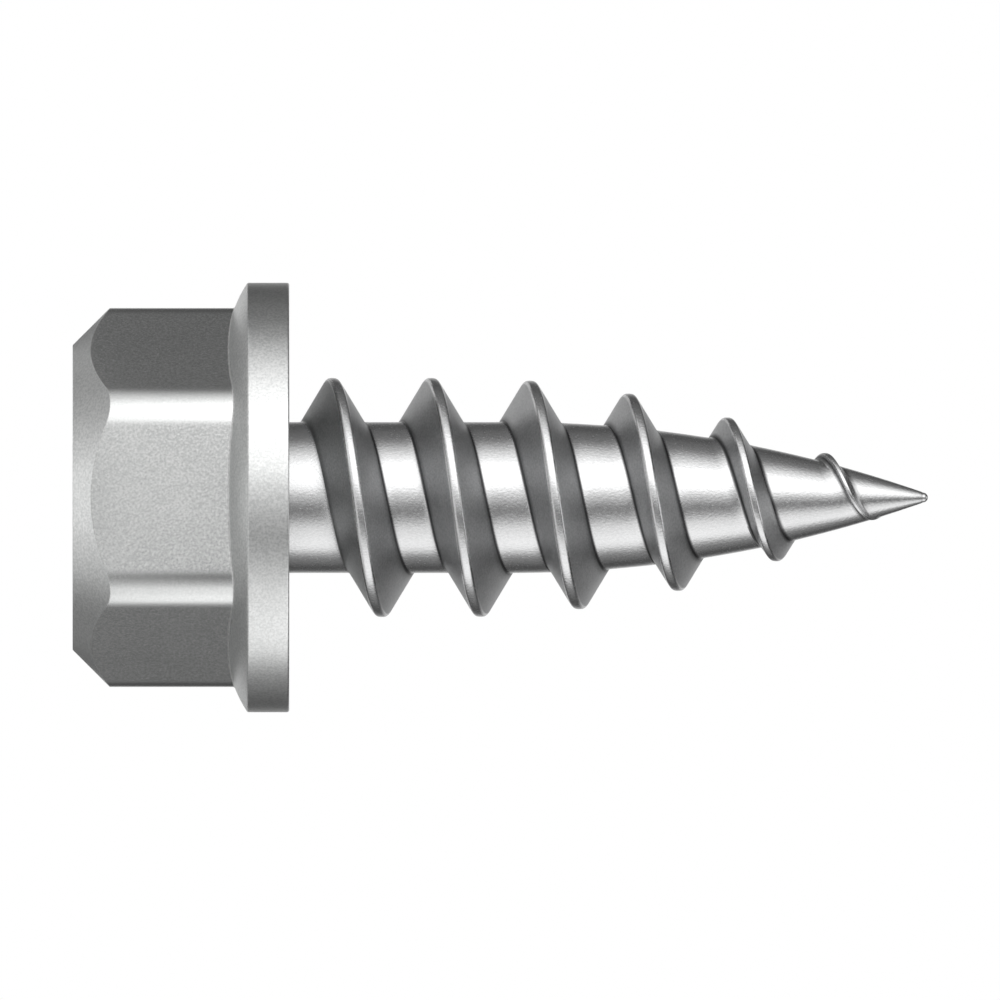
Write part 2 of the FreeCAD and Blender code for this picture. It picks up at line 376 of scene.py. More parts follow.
facts = {"above_core": above_core, "below_crest": below_crest, "painted_foot_shade": painted_foot_shade}
geometry = shape.outputs[0]
for name, value in facts.items():
    store = nodes.new("GeometryNodeStoreNamedAttribute")
    store.data_type = "FLOAT"
    store.domain = "POINT"
    store.inputs["Name"].default_value = name
    links.new(geometry, store.inputs["Geometry"])
    links.new(value.socket, store.inputs["Value"])
    geometry = store.outputs[0]
print("stored:", list(facts))

# %% [markdown]
# Merge by Distance closes every turn to the next and removes the rows that were pressed flat. Then
# come Realize Instances and Set Material, because an export drops instances. The result is turned
# into a plain mesh, since the frame keeps meshes and no live modifiers.

# %% Turn the ribbon into the shank's mesh
WELD = 2e-7
head_zinc = bpy.data.materials.new("head_zinc")
thread_zinc = bpy.data.materials.new("thread_zinc")

merge = nodes.new("GeometryNodeMergeByDistance")
merge.inputs["Distance"].default_value = WELD
realize = nodes.new("GeometryNodeRealizeInstances")
paint = nodes.new("GeometryNodeSetMaterial")
paint.inputs["Material"].default_value = thread_zinc
leave = nodes.new("NodeGroupOutput")
for source, target in ((geometry, merge), (merge.outputs[0], realize),
                       (realize.outputs[0], paint), (paint.outputs[0], leave)):
    links.new(source, target.inputs["Geometry"])


def grown_mesh(name, tree, sizes):
    holder = bpy.data.objects.new(name, bpy.data.meshes.new(name))
    bpy.context.scene.collection.objects.link(holder)
    modifier = holder.modifiers.new(name, "NODES")
    modifier.node_group = tree
    for item in tree.interface.items_tree:
        if item.item_type == "SOCKET" and item.in_out == "INPUT" and item.name in sizes:
            modifier[item.identifier] = sizes[item.name]
    evaluated = holder.evaluated_get(bpy.context.evaluated_depsgraph_get())
    mesh = bpy.data.meshes.new_from_object(evaluated)
    holder.modifiers.remove(modifier)
    bpy.data.objects.remove(holder)
    return mesh


shank_mesh = grown_mesh("threaded_shank", thread_tree, thread_sizes)
print("tree: %d nodes" % len(nodes))
print("shank: %d points, %d faces" % (len(shank_mesh.vertices), len(shank_mesh.polygons)))

# %% [markdown]
# The head. A cold-headed hexagon isn't a sharp prism: its corners are rounded, a 45 degree cone
# turns off its top edge so that each flat ends in an arc, and it grows out of a domed washer that
# is part of it. It could be modelled with booleans and bevels, but a cut through the axis has the
# same outline at every angle, apart from the hexagon's radius there. So one outline is swept round
# the axis while that radius changes. Two formulas are needed first: the hexagon's radius at an
# angle, and the height of the dome at a radius. The corner's reach is the angle over which a
# hexagon's corner is round, to either side of it.

# %% Radius of the hexagon and height of the dome
SIXTH = math.pi / 3
CORNER_CENTRE = (ACROSS_FLATS / 2 - CORNER_ROUND) / math.cos(SIXTH / 2)
CORNER_RADIUS = CORNER_CENTRE + CORNER_ROUND
CORNER_REACH = math.atan2(CORNER_ROUND * math.sin(SIXTH / 2),
                          CORNER_CENTRE + CORNER_ROUND * math.cos(SIXTH / 2))
DOME_DROP = DOME_RADIUS - DOME_HEIGHT
DOME_START = FLANGE_RADIUS - math.sqrt(DOME_RADIUS**2 - (DOME_DROP + RIM_HEIGHT)**2)


def from_corner(angle):
    return abs((angle + SIXTH / 2) % SIXTH - SIXTH / 2)


def hexagon_radius(angle):
    away = from_corner(angle)
    if away < CORNER_REACH:
        across = CORNER_CENTRE * math.sin(away)
        return CORNER_CENTRE * math.cos(away) + math.sqrt(CORNER_ROUND**2 - across**2)
    return ACROSS_FLATS / 2 / math.cos(SIXTH / 2 - away)


def dome_height_at(radius):
    past = max(0.0, radius - DOME_START)
    return DOME_DROP - math.sqrt(DOME_RADIUS**2 - past**2)


print("hexagon: %.2f mm across flats, %.2f mm across its rounded corners" % (
    2 * hexagon_radius(SIXTH / 2), 2 * hexagon_radius(0)))

# %% [markdown]
# Every corner of the outline is rounded by a small arc, because a real edge always catches a little
# light. Each arc has a support point close by on either side. A face's shading blends the normals
# at its corners, so without them the arc's tilt would spread over the wide flat next to it.

# %% Round one corner of an outline
ARC_STEPS = 5
SUPPORT = 0.02


def round_corner(before, corner, after, radius):
    before, corner, after = Vector(before), Vector(corner), Vector(after)
    into = (corner - before).normalized()
    out = (after - corner).normalized()
    turn = into.angle(out)
    reach = radius * math.tan(turn / 2)
    first, last = corner - into * reach, corner + out * reach
    side = math.copysign(1, into.x * out.y - into.y * out.x)
    arm = Vector((into.y, -into.x)) * side * radius
    points = [first - into * SUPPORT]
    for number in range(ARC_STEPS + 1):
        spin = Matrix.Rotation(side * turn * number / ARC_STEPS, 2)
        points.append(first - arm + spin @ arm)
    return points + [last + out * SUPPORT]


print("a rounded corner has %d points" % len(round_corner((0, 0), (1, 0), (1, 1), 0.1)))

# %% [markdown]
# The outline runs from the middle of the head's top over the chamfer, down the side, along the dome
# and the rim, and in over the bearing face. It stops a little outside the shank, because the first
# ring there belongs to the thread. At a corner of the hexagon the cone takes off the full chamfer,
# and at a flat it takes off less, which is what draws the arcs.

# %% The head's outline at an angle
TOP_EDGE_ROUND = 0.04
SIDE_EDGE_ROUND = 0.02
NECK_ROUND = 0.05
SEAT_ROUND = 0.05
SEAT_CLEAR = 0.3
TOP_RADIUS = CORNER_RADIUS - HEAD_CHAMFER
TOP_SHARES = (0.25, 0.5, 0.75)
DOME_STEPS = 14
DOME_FROM_NECK = 1.1 * NECK_ROUND
DOME_TO_RIM = 0.9 * RIM_ROUND


def dome_points(side):
    first, last = side + DOME_FROM_NECK, FLANGE_RADIUS - DOME_TO_RIM
    radii = [first + (last - first) * number / DOME_STEPS for number in range(DOME_STEPS + 1)]
    return [Vector((radius, dome_height_at(radius))) for radius in radii]


def head_outline(angle):
    side = hexagon_radius(angle)
    top = (TOP_RADIUS, -HEAD_HEIGHT)
    chamfer_end = (side, -HEAD_HEIGHT + side - TOP_RADIUS)
    neck = (side, dome_height_at(side))
    rim = (FLANGE_RADIUS, -RIM_HEIGHT)
    seat = (FLANGE_RADIUS, 0)
    dome = dome_points(side)
    points = [Vector((TOP_RADIUS * share, -HEAD_HEIGHT)) for share in TOP_SHARES]
    points += round_corner((0, -HEAD_HEIGHT), top, chamfer_end, TOP_EDGE_ROUND)
    points += round_corner(top, chamfer_end, neck, SIDE_EDGE_ROUND)
    points += round_corner(chamfer_end, neck, dome[0], NECK_ROUND)
    points += dome
    points += round_corner(dome[-1], rim, seat, RIM_ROUND)
    points += round_corner(rim, seat, (CORE_RADIUS, 0), SEAT_ROUND)
    return points + [Vector((CORE_RADIUS + SEAT_CLEAR, 0))]


print("the outline has %d points" % len(head_outline(0)))

# %% [markdown]
# The sweep runs over 288 angles, as many as the ribbon has steps in a turn, so that the bearing
# face can be closed point to point between the flange and the shank's first ring. The angles crowd
# at the six corners and are wide apart on the flats.

# %% The angles of the sweep
CORNER_STEPS = 14
CORNER_SWEEP = 0.125
FLAT_STEPS = STEPS_PER_TURN // 6 - CORNER_STEPS
FLAT_SWEEP = SIXTH - 2 * CORNER_SWEEP

head_angles = []
for side in range(6):
    corner = side * SIXTH
    for number in range(CORNER_STEPS):
        head_angles.append(corner - CORNER_SWEEP + 2 * CORNER_SWEEP * number / CORNER_STEPS)
    for number in range(FLAT_STEPS):
        head_angles.append(corner + CORNER_SWEEP + FLAT_SWEEP * number / FLAT_STEPS)
print("%d angles, %d of them at each corner" % (len(head_angles), CORNER_STEPS))

# %% [markdown]
# The skin is put together in bmesh, where points and faces can be added one by one. It starts with
# the shank. Merging left some loose edges, which go, and two open rings remain: one on the bearing
# face and one at the cap near the tip. Rings are sorted by their angle, so that two of them can be
# joined point to point.

# %% Open the shank's mesh and find its rings
def by_angle(points):
    return sorted(points, key=lambda point: math.atan2(point.co.y, point.co.x))


screw_mesh = bmesh.new()
screw_mesh.from_mesh(shank_mesh)
for edge in [edge for edge in screw_mesh.edges if edge.is_wire]:
    screw_mesh.edges.remove(edge)
open_points = {point for edge in screw_mesh.edges if edge.is_boundary for point in edge.verts}
seat_ring = by_angle([point for point in open_points if point.co.z < MM])
cap_ring = by_angle([point for point in open_points if point.co.z > MM])
print("open rings: %d and %d points" % (len(seat_ring), len(cap_ring)))
print("widest at the seat: %.3f mm" % max(point.co.xy.length / MM for point in seat_ring))

# %% [markdown]
# Sweeping is then simple: one ring for each point of the outline, a band of faces between each two
# rings, the last band to the shank's own ring, and a fan of triangles to close the head's top.

# %% Sweep the head
def on_axis(angle, radius, height):
    return Vector((radius * math.cos(angle), radius * math.sin(angle), height)) * MM


def bridge(mesh, first, second):
    for number in range(len(first)):
        after = (number + 1) % len(first)
        mesh.faces.new((first[number], first[after], second[after], second[number]))


def fan(mesh, ring, pole):
    for number in range(len(ring)):
        mesh.faces.new((ring[number], ring[(number + 1) % len(ring)], pole))


outlines = [head_outline(angle) for angle in head_angles]
rings = []
for number in range(len(outlines[0])):
    ring = [screw_mesh.verts.new(on_axis(angle, outline[number].x, outline[number].y))
            for angle, outline in zip(head_angles, outlines)]
    rings.append(by_angle(ring))
for lower, upper in zip(rings, rings[1:] + [seat_ring]):
    bridge(screw_mesh, lower, upper)
fan(screw_mesh, rings[0], screw_mesh.verts.new(on_axis(0, 0, -HEAD_HEIGHT)))
print("head: %d rings" % len(rings))

# %% [markdown]
# The tip is a small ball on the end of the cone. A few rings climb from the cap to the ball's
# middle and more roll over it to the pole. Then everything is welded into one closed skin, with
# its faces turned outwards. A closed skin has no open edge and a positive volume, which is checked.

# %% Close the tip and weld the screw
CLIMB_RINGS = 3
BALL_RINGS = 6

cap_radius = cap_ring[0].co.xy.length / MM
ball_centre = LENGTH - TIP_RADIUS
below = cap_ring
for number in range(1, CLIMB_RINGS + BALL_RINGS):
    climbed = min(1.0, number / CLIMB_RINGS)
    rolled = max(0.0, (number - CLIMB_RINGS) / BALL_RINGS) * math.pi / 2
    ring_height = (CAP_HEIGHT + (ball_centre - CAP_HEIGHT) * climbed
                   + TIP_RADIUS * math.sin(rolled))
    ring_radius = (cap_radius + (TIP_RADIUS - cap_radius) * climbed) * math.cos(rolled)
    ring = [screw_mesh.verts.new(on_axis(math.atan2(point.co.y, point.co.x),
                                         ring_radius, ring_height)) for point in cap_ring]
    bridge(screw_mesh, below, ring)
    below = ring
fan(screw_mesh, below, screw_mesh.verts.new(on_axis(0, 0, LENGTH)))

bmesh.ops.remove_doubles(screw_mesh, verts=screw_mesh.verts, dist=WELD)
bmesh.ops.recalc_face_normals(screw_mesh, faces=screw_mesh.faces)
print("screw: %d faces, open or doubled edges: %d, volume %.2f mm3" % (
    len(screw_mesh.faces), sum(1 for edge in screw_mesh.edges if not edge.is_manifold),
    screw_mesh.calc_volume(signed=True) / MM**3))

# %% [markdown]
# The skin becomes one object that stands in for the solid. Faces meeting at more than 40 degrees
# keep a crisp edge, and the rest is shaded smooth. The head's faces take one material and the
# shank's the other. The cone and the dome were shaped by the header's die and the flats by the
# punch, so they differ in gloss. A fourth attribute says how satin the head is at each point: more,
# the further the surface leans towards the top, and a fixed share on the rim. Tumbling in the
# plating barrel rubs the hexagon's corners smooth, and a fifth attribute says where.

# %% Make the object and stand it in the frame
SHARP_ANGLE = math.radians(40)
RIM_SATIN = 0.4
UPRIGHT = 0.3
RUBBED_REACH = 2 * CORNER_REACH
JUST_ABOVE_SEAT = 0.001

skin = bpy.data.meshes.new("duct_screw_skin")
screw_mesh.to_mesh(skin)
screw_mesh.free()
skin.set_sharp_from_angle(angle=SHARP_ANGLE)
skin.materials.clear()
skin.materials.append(head_zinc)
skin.materials.append(thread_zinc)
for face in skin.polygons:
    face.use_smooth = True
    face.material_index = 1 if face.center.z > JUST_ABOVE_SEAT * MM else 0
skin.attributes.new("satin", "FLOAT", "POINT")
skin.attributes.new("rubbed", "FLOAT", "POINT")
satin_values, rubbed_values = (skin.attributes[name].data for name in ("satin", "rubbed"))
for point in skin.vertices:
    on_rim = point.co.xy.length > (FLANGE_RADIUS - RIM_ROUND) * MM
    satin_values[point.index].value = max(-point.normal.z, RIM_SATIN if on_rim else 0.0)
    if point.co.z < 0 and not on_rim and abs(point.normal.z) < UPRIGHT:
        away = from_corner(math.atan2(point.co.y, point.co.x))
        rubbed_values[point.index].value = max(0.0, 1 - away / RUBBED_REACH)

duct_screw = bpy.data.objects.new("duct_screw_skin", skin)
bpy.context.scene.collection.objects.link(duct_screw)
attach(duct_screw, "root")
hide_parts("duct_screw")
skin.calc_loop_triangles()
print("triangles: %d" % len(skin.loop_triangles))

# %% [markdown]
# The finish is bright zinc plating: a metal, light neutral grey, whose look comes from how fine its
# grain is. Two effects are used by both materials of the screw, the grain and the tone, so each is
# a node group that is built once. These helpers keep the wiring of groups and materials short.

# %% Helpers for shader nodes
FLOAT, COLOR, VECTOR = "NodeSocketFloat", "NodeSocketColor", "NodeSocketVector"


def shader_group(name, inputs, outputs):
    group = bpy.data.node_groups.new(name, "ShaderNodeTree")
    for label, kind, value in inputs:
        socket = group.interface.new_socket(label, in_out="INPUT", socket_type=kind)
        socket.default_value = value
    for label, kind in outputs:
        group.interface.new_socket(label, in_out="OUTPUT", socket_type=kind)
    return group, group.nodes.new("NodeGroupInput"), group.nodes.new("NodeGroupOutput")


def add(tree, kind, **settings):
    node = tree.nodes.new(kind)
    for name, value in settings.items():
        setattr(node, name, value)
    return node


def fill(node, values):
    for label, value in values.items():
        node.inputs[label].default_value = value


def join(tree, *pairs):
    for source, target in pairs:
        tree.links.new(source, target)


print("shader helpers ready")

# %% [markdown]
# The grain. Blasting and barrel plating leave the head finely pitted, and drawing leaves the shank
# with a grain that runs lengthwise. One noise serves both: it has a size and a stretch along each
# axis. It reads Object coordinates, so it stays on the metal when the screw is turned. Where the
# metal is rubbed, the pits are mixed towards one even height.

# %% Node group of the zinc's grain
EVEN_HEIGHT = 0.5

grain_group, entry, leave = shader_group(
    "zinc_grain",
    (("Grains per metre", FLOAT, 20000.0), ("Stretch", VECTOR, (1.0, 1.0, 1.0)),
     ("Rubbed", FLOAT, 0.0)),
    (("Height", FLOAT),))
coordinate = add(grain_group, "ShaderNodeTexCoord")
stretched = add(grain_group, "ShaderNodeVectorMath", operation="MULTIPLY")
pits = add(grain_group, "ShaderNodeTexNoise")
fill(pits, {"Detail": 1.0, "Roughness": 0.6})
worn = add(grain_group, "ShaderNodeMix", data_type="FLOAT")
fill(worn, {"B": EVEN_HEIGHT})
join(grain_group,
     (coordinate.outputs["Object"], stretched.inputs[0]),
     (entry.outputs["Stretch"], stretched.inputs[1]),
     (stretched.outputs[0], pits.inputs["Vector"]),
     (entry.outputs["Grains per metre"], pits.inputs["Scale"]),
     (entry.outputs["Rubbed"], worn.inputs[0]), (pits.outputs[0], worn.inputs["A"]),
     (worn.outputs[0], leave.inputs["Height"]))
print("group", grain_group.name, "has", len(grain_group.nodes), "nodes")

# %% [markdown]
# The tone. Plated zinc isn't one even grey. Its crystals are a little lighter or darker from grain
# to grain, and thicker and thinner plating makes faint clouds. The group mixes the two by a share,
# and the result chooses between a light and a dark tone. Noise stays near its middle, so a narrower
# range of it is spread over both tones.

# %% Node group of the zinc's tone
NOISE_RANGE = (0.3, 0.7)

tone_group, entry, leave = shader_group(
    "zinc_tone",
    (("Light tone", COLOR, (0.7, 0.7, 0.7, 1)), ("Dark tone", COLOR, (0.6, 0.6, 0.6, 1)),
     ("Clouds per metre", FLOAT, 900.0), ("Grain", FLOAT, 0.5), ("Grain share", FLOAT, 0.5)),
    (("Color", COLOR),))
coordinate = add(tone_group, "ShaderNodeTexCoord")
clouds = add(tone_group, "ShaderNodeTexNoise")
fill(clouds, {"Detail": 3.0})
both = add(tone_group, "ShaderNodeMix", data_type="FLOAT")
spread = add(tone_group, "ShaderNodeMapRange", interpolation_type="SMOOTHSTEP")
fill(spread, {"From Min": NOISE_RANGE[0], "From Max": NOISE_RANGE[1]})
blend = add(tone_group, "ShaderNodeMix", data_type="RGBA")
join(tone_group,
     (coordinate.outputs["Object"], clouds.inputs["Vector"]),
     (entry.outputs["Clouds per metre"], clouds.inputs["Scale"]),
     (entry.outputs["Grain share"], both.inputs[0]), (clouds.outputs[0], both.inputs["A"]),
     (entry.outputs["Grain"], both.inputs["B"]), (both.outputs[0], spread.inputs["Value"]),
     (spread.outputs[0], blend.inputs[0]), (entry.outputs["Dark tone"], blend.inputs["A"]),
     (entry.outputs["Light tone"], blend.inputs["B"]),
     (blend.outputs["Result"], leave.inputs["Color"]))
print("group", tone_group.name, "has", len(tone_group.nodes), "nodes")

# %% [markdown]
# Both finishes are the same metal with other numbers, so one function builds it. The grain gives
# the bump, moves the roughness between a low and a high value and is part of the tone. A second
# function turns a stored attribute into a soft mask, which rises between two values of it, and a
# third makes the metal duller under one.

# %% Zinc, and masks on it
def zinc(material, roughness, bump, grain_values, tone_values):
    material.use_nodes = True
    tree = material.node_tree
    shader = tree.nodes["Principled BSDF"]
    shader.inputs["Metallic"].default_value = 1.0
    grain = add(tree, "ShaderNodeGroup", node_tree=grain_group)
    fill(grain, grain_values)
    tone = add(tree, "ShaderNodeGroup", node_tree=tone_group)
    fill(tone, tone_values)
    gloss = add(tree, "ShaderNodeMapRange")
    fill(gloss, {"To Min": roughness[0], "To Max": roughness[1]})
    relief = add(tree, "ShaderNodeBump")
    fill(relief, {"Distance": bump * MM})
    join(tree,
         (grain.outputs["Height"], relief.inputs["Height"]),
         (relief.outputs[0], shader.inputs["Normal"]),
         (grain.outputs["Height"], gloss.inputs["Value"]),
         (gloss.outputs[0], shader.inputs["Roughness"]),
         (grain.outputs["Height"], tone.inputs["Grain"]),
         (tone.outputs["Color"], shader.inputs["Base Color"]))
    return tree, {"shader": shader, "grain": grain, "tone": tone, "gloss": gloss}


def stored_mask(tree, name, rise, strength=1.0):
    attribute = add(tree, "ShaderNodeAttribute", attribute_name=name)
    mask = add(tree, "ShaderNodeMapRange", interpolation_type="SMOOTHSTEP")
    fill(mask, {"From Min": rise[0], "From Max": rise[1], "To Max": strength})
    join(tree, (attribute.outputs["Fac"], mask.inputs["Value"]))
    return mask.outputs[0]


def duller_where(tree, metal, mask, extra):
    duller = add(tree, "ShaderNodeMath", operation="MULTIPLY_ADD")
    duller.inputs[1].default_value = extra
    join(tree, (mask, duller.inputs[0]), (metal["gloss"].outputs[0], duller.inputs[2]),
         (duller.outputs[0], metal["shader"].inputs["Roughness"]))


print("zinc ready for", head_zinc.name, "and", thread_zinc.name)

# %% [markdown]
# The head is the duller of the two. Its pits spread the light, so every edge between light and dark
# is soft and a little sandy. The bump is some two and a half thousandths of a millimetre, which
# turns the surface by about a degree. On the real head that is a speckle which is strong where the
# reflection changes quickly and hardly there where it is even. The cone, the dome and the rim are
# more satin than the flats, by the fourth attribute. Where the corners are rubbed, by the fifth,
# three quarters of the grain are gone.

# %% The head's blasted zinc
HEAD_ROUGHNESS = (0.16, 0.26)
HEAD_BUMP = 0.0024
HEAD_GRAIN = {"Grains per metre": 20000.0}
HEAD_TONE = {"Light tone": (0.775, 0.78, 0.775, 1), "Dark tone": (0.6, 0.61, 0.605, 1),
             "Clouds per metre": 500.0, "Grain share": 0.8}
HEAD_SATIN = 0.22
SATIN_RISE = (0.0, 0.8)
CORNER_RUBBED = 0.75
RUBBED_RISE = (0.4, 0.6)

tree, head = zinc(head_zinc, HEAD_ROUGHNESS, HEAD_BUMP, HEAD_GRAIN, HEAD_TONE)
duller_where(tree, head, stored_mask(tree, "satin", SATIN_RISE), HEAD_SATIN)
join(tree, (stored_mask(tree, "rubbed", RUBBED_RISE, CORNER_RUBBED),
            head["grain"].inputs["Rubbed"]))
print("head: roughness %.2f to %.2f, and %.2f more where it is satin" % (
    HEAD_ROUGHNESS + (HEAD_SATIN,)))

# %% [markdown]
# The shank is rolled, so its edges between light and dark are crisper, and its grain runs
# lengthwise. The flanks are more satin, and their colour is painted darker than that of the core
# and
# the crest: that is painted shade. The line at their foot is painted shade too, darker still. The
# three attributes that the tree stored say where each is. Being painted into the colour, this shade
# stays when the light changes.

# %% The shank's rolled zinc
SHANK_ROUGHNESS = (0.2, 0.3)
SHANK_BUMP = 0.003
SHANK_GRAIN = {"Grains per metre": 23000.0, "Stretch": (1.0, 1.0, 0.7)}
SHANK_TONE = {"Light tone": (0.7, 0.702, 0.705, 1), "Dark tone": (0.62, 0.622, 0.625, 1),
              "Clouds per metre": 700.0, "Grain share": 0.6}
# Painted shade: the flanks' colour is darker than the core's and the crest's.
FLANK_SHADE_TONE = {"Light tone": (0.515, 0.518, 0.522, 1), "Dark tone": (0.38, 0.383, 0.387, 1),
              "Clouds per metre": 1500.0, "Grain share": 0.7}
FLANK_SATIN = 0.16
# Painted shade: the dark colour of the line along each ridge's foot.
PAINTED_FOOT_SHADE = (0.09, 0.09, 0.092, 1)
OFF_CORE_RISE = (0.0, 0.04)
OFF_CREST_RISE = (0.55, 1.0)
PAINTED_FOOT_SHADE_RISE = (0.1, 0.9)

tree, shank = zinc(thread_zinc, SHANK_ROUGHNESS, SHANK_BUMP, SHANK_GRAIN, SHANK_TONE)
# The flanks take their painted shade colour, and the foot its painted shade line.
flank_shade_tone = add(tree, "ShaderNodeGroup", node_tree=tone_group)
fill(flank_shade_tone, FLANK_SHADE_TONE)
on_flank = add(tree, "ShaderNodeMath", operation="MULTIPLY")
with_flank_shade = add(tree, "ShaderNodeMix", data_type="RGBA")
with_foot_shade = add(tree, "ShaderNodeMix", data_type="RGBA")
fill(with_foot_shade, {"B": PAINTED_FOOT_SHADE})
join(tree,
     (stored_mask(tree, "above_core", OFF_CORE_RISE), on_flank.inputs[0]),
     (stored_mask(tree, "below_crest", OFF_CREST_RISE), on_flank.inputs[1]),
     (shank["grain"].outputs["Height"], flank_shade_tone.inputs["Grain"]),
     (on_flank.outputs[0], with_flank_shade.inputs[0]),
     (shank["tone"].outputs["Color"], with_flank_shade.inputs["A"]),
     (flank_shade_tone.outputs["Color"], with_flank_shade.inputs["B"]),
     (stored_mask(tree, "painted_foot_shade", PAINTED_FOOT_SHADE_RISE), with_foot_shade.inputs[0]),
     (with_flank_shade.outputs["Result"], with_foot_shade.inputs["A"]),
     (with_foot_shade.outputs["Result"], shank["shader"].inputs["Base Color"]))
duller_where(tree, shank, on_flank.outputs[0], FLANK_SATIN)
print("shank: roughness %.2f to %.2f, and %.2f more on the flanks" % (
    SHANK_ROUGHNESS + (FLANK_SATIN,)))

# %% [markdown]
# The camera. The photograph is a side view without perspective, so the camera is orthographic. It
# looks along +Y and is rolled a quarter turn, so that the screw lies with its point to the right.
# One pixel is the 13 mm under the head over the 638.7 pixels that they take up in the photograph.

# %% Camera
UNDER_HEAD = 13.0
UNDER_HEAD_PIXELS = 638.7
PIXEL = UNDER_HEAD / UNDER_HEAD_PIXELS
FRAME_PIXELS = 1000
LEFT_OF_BEARING_FACE = 210.7
BELOW_AXIS = 2.5
CAMERA_AWAY = 80.0
CAMERA_SEES_TO = 10000.0

camera_data = bpy.data.cameras.new("camera")
camera_data.type = "ORTHO"
camera_data.ortho_scale = FRAME_PIXELS * PIXEL * MM
camera_data.clip_start = MM
camera_data.clip_end = CAMERA_SEES_TO * MM
camera = bpy.data.objects.new("camera", camera_data)
bpy.context.scene.collection.objects.link(camera)
right, up, back = Vector((0, 0, 1)), Vector((-1, 0, 0)), Vector((0, -1, 0))
camera.matrix_world = Matrix((right, up, back)).transposed().to_4x4()
camera.matrix_world.translation = Vector(
    (BELOW_AXIS * PIXEL, -CAMERA_AWAY, LEFT_OF_BEARING_FACE * PIXEL)) * MM
bpy.context.scene.camera = camera
print("the frame is %.2f mm wide" % (FRAME_PIXELS * PIXEL))

# %% [markdown]
# The studio. Polished metal shows the room more than itself, so such a screw is photographed inside
# a ring of white cloth with black cards in it. The ring is only mirrored: it casts no shadow and
# lights no floor, so under other light the screw is lit by that light alone. It starts just above
# the floor, on which the screw stands.

# %% The ring of cloth
RING_RADIUS = 30.0
RING_TOP = 110.0
RING_STEPS = 96
FLOOR_GAP = 0.01
ABOVE_FLOOR = -HEAD_HEIGHT + FLOOR_GAP


def stage_mesh(name, points, faces, material):
    mesh = bpy.data.meshes.new(name)
    mesh.from_pydata(points, [], faces)
    mesh.materials.append(material)
    thing = bpy.data.objects.new(name, mesh)
    bpy.context.scene.collection.objects.link(thing)
    return thing


def only_mirrored(thing):
    for kind in ("camera", "diffuse", "shadow", "transmission", "volume_scatter"):
        setattr(thing, "visible_" + kind, False)


cloth = bpy.data.materials.new("cloth_and_cards")
ring_points, ring_faces = [], []
for number in range(RING_STEPS):
    for level in (ABOVE_FLOOR, RING_TOP):
        ring_points.append(on_axis(2 * math.pi * number / RING_STEPS, RING_RADIUS, level))
    here, there = 2 * number, 2 * ((number + 1) % RING_STEPS)
    ring_faces.append((here, there, there + 1, here + 1))
only_mirrored(stage_mesh("cloth_and_cards", ring_points, ring_faces, cloth))
print("ring of cloth: radius %.0f mm" % RING_RADIUS)

# %% [markdown]
# Cards on the floor. The head is close to the floor, so it mirrors that as much as the ring. Flat
# cards lie there, and they are only mirrored too. A narrow collar round the head is what the
# chamfer shows. An apron outside it is what the dome shows. Two dark cards behind the screw keep
# the shaded sides of the hexagon dark. Their angles count from the camera, and are positive
# towards the top of the picture.

# %% Cards on the floor
COLLAR_INNER = 3.11
COLLAR_OUTER = 4.6
APRON_OUTER = 12.0
CARD_SPANS = ((95, 145), (215, 262))
ALL_ROUND = ((-180, 180),)
CARD_STEP = 5
CAMERA_SIDE = -90


def flat_card(name, spans, inner, outer, material):
    points, faces = [], []
    for first, last in spans:
        start = len(points)
        for degrees in list(range(first, last, CARD_STEP)) + [last]:
            for radius in (inner, outer):
                points.append(on_axis(math.radians(CAMERA_SIDE - degrees), radius, ABOVE_FLOOR))
        for corner in range(start, len(points) - 2, 2):
            faces.append((corner, corner + 1, corner + 3, corner + 2))
    only_mirrored(stage_mesh(name, points, faces, material))


collar_paper = bpy.data.materials.new("collar_paper")
apron_paper = bpy.data.materials.new("apron_paper")
flat_card("floor_cards", CARD_SPANS, APRON_OUTER, RING_RADIUS, cloth)
flat_card("apron", ALL_ROUND, COLLAR_OUTER, APRON_OUTER, apron_paper)
flat_card("collar", ALL_ROUND, COLLAR_INNER, COLLAR_OUTER, collar_paper)
print("cards reach from %.2f to %.0f mm" % (COLLAR_INNER, RING_RADIUS))

# %% [markdown]
# How bright they are. Going round the ring, there is a wide bright cloth towards the top of the
# picture, a narrow dark gap beside the camera, a softer cloth below, a black card on either side
# further back, and grey cloth behind the screw. That draws the long highlights of the shank, its
# dark edges, and the dark flats of the head. Each list gives the angle in degrees and the
# brightness there, and a Float Curve joins them. The ring's cloth fades out towards its top.

# %% Brightness round the screw
CLOTH = ((-180, 0.8), (-167, 0.75), (-156, 0.38), (-147, 0.13), (-132, 0.08), (-118, 0.19),
         (-108, 0.22), (-98, 0.4), (-90, 0.76), (-81, 1.28), (-71, 1.32), (-61, 1.18),
         (-51, 1.12), (-38, 0.7), (-26, 0.34), (-18, 0.21), (-12, 0.33), (-6, 0.6), (0, 0.71),
         (6, 0.92), (12, 1.45), (20, 1.78), (40, 1.92), (54, 1.62), (64, 1.2), (74, 0.88),
         (82, 0.6), (90, 0.35), (100, 0.2), (118, 0.16), (132, 0.1), (147, 0.13), (156, 0.38),
         (167, 0.75), (180, 0.8))
COLLAR = ((-180, 0.14), (-110, 0.15), (-80, 0.19), (-64, 0.24), (-48, 0.26), (-37, 0.4),
          (-27, 0.65), (-17, 0.8), (-4, 1.0), (4, 1.0), (17, 0.8), (26, 0.62), (36, 0.47),
          (48, 0.4), (63, 0.43), (80, 0.32), (110, 0.2), (180, 0.14))
APRON = ((-180, 0.6), (-149, 1.0), (-126, 0.52), (-103, 0.22), (-74, 0.33), (-40, 0.48),
         (0, 0.58), (36, 0.64), (74, 0.38), (103, 0.31), (126, 0.66), (149, 1.02), (180, 0.6))
BRIGHTEST = 2.0


